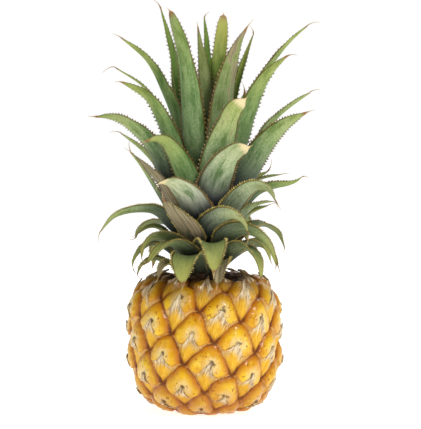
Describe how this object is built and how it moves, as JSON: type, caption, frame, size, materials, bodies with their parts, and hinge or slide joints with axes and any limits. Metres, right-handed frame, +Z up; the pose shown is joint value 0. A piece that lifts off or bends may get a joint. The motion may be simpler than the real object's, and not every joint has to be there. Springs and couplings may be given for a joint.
{
  "type": "pineapple",
  "caption": "Small whole ripe pineapple standing upright, with golden eyes, pale dry bracts and a tall leafy crown of toothed green leaves.",
  "frame": {"origin": "centre of the flat spot that the fruit stands on", "axes": "+Z up through the fruit and its crown, -Y towards the side seen from the front"},
  "size_m": [0.142, 0.1098, 0.264],
  "materials": {
    "rind": "satin",
    "stem": "matte",
    "leaf_green": "satin",
    "leaf_pale": "matte",
    "leaf_yellow_green": "satin",
    "leaf_dry": "matte"
  },
  "bodies": {
    "root": {"fruit": "rind", "crown_stem": "stem", "heart_leaf": "leaf_dry", "spear_leaf_1": "leaf_green", "spear_leaf_2": "leaf_green", "spear_leaf_3": "leaf_green", "spear_leaf_4": "leaf_green", "spear_leaf_5": "leaf_green", "spear_leaf_6": "leaf_green", "spear_leaf_7": "leaf_green", "spear_leaf_8": "leaf_green", "spear_leaf_9": "leaf_green", "upper_leaf_1": "leaf_green", "upper_leaf_2": "leaf_green", "upper_leaf_3": "leaf_green", "upper_leaf_4": "leaf_green", "upper_leaf_5": "leaf_green", "upper_leaf_6": "leaf_green", "upper_leaf_7": "leaf_green", "upper_leaf_8": "leaf_green", "upper_leaf_9": "leaf_green", "middle_leaf_1": "leaf_pale", "middle_leaf_2": "leaf_pale", "middle_leaf_3": "leaf_pale", "middle_leaf_4": "leaf_pale", "middle_leaf_5": "leaf_pale", "middle_leaf_6": "leaf_pale", "middle_leaf_7": "leaf_pale", "middle_leaf_8": "leaf_pale", "middle_leaf_9": "leaf_dry", "middle_leaf_10": "leaf_pale", "middle_leaf_11": "leaf_pale", "middle_leaf_12": "leaf_pale", "middle_leaf_13": "leaf_pale", "lower_leaf_1": "leaf_pale", "lower_leaf_2": "leaf_pale", "lower_leaf_3": "leaf_pale", "lower_leaf_4": "leaf_pale", "lower_leaf_5": "leaf_dry", "lower_leaf_6": "leaf_pale", "lower_leaf_7": "leaf_pale", "lower_leaf_8": "leaf_pale", "lower_leaf_9": "leaf_pale", "lower_leaf_10": "leaf_pale", "lower_leaf_11": "leaf_pale", "basal_leaf_1": "leaf_yellow_green", "basal_leaf_2": "leaf_yellow_green", "basal_leaf_3": "leaf_yellow_green", "basal_leaf_4": "leaf_yellow_green", "basal_leaf_5": "leaf_yellow_green", "basal_leaf_6": "leaf_yellow_green", "basal_leaf_7": "leaf_yellow_green", "basal_leaf_8": "leaf_yellow_green", "basal_leaf_9": "leaf_yellow_green", "basal_leaf_10": "leaf_yellow_green", "basal_leaf_11": "leaf_yellow_green", "basal_leaf_12": "leaf_yellow_green", "basal_leaf_13": "leaf_yellow_green", "basal_leaf_14": "leaf_yellow_green"}
  },
  "joints": []
}
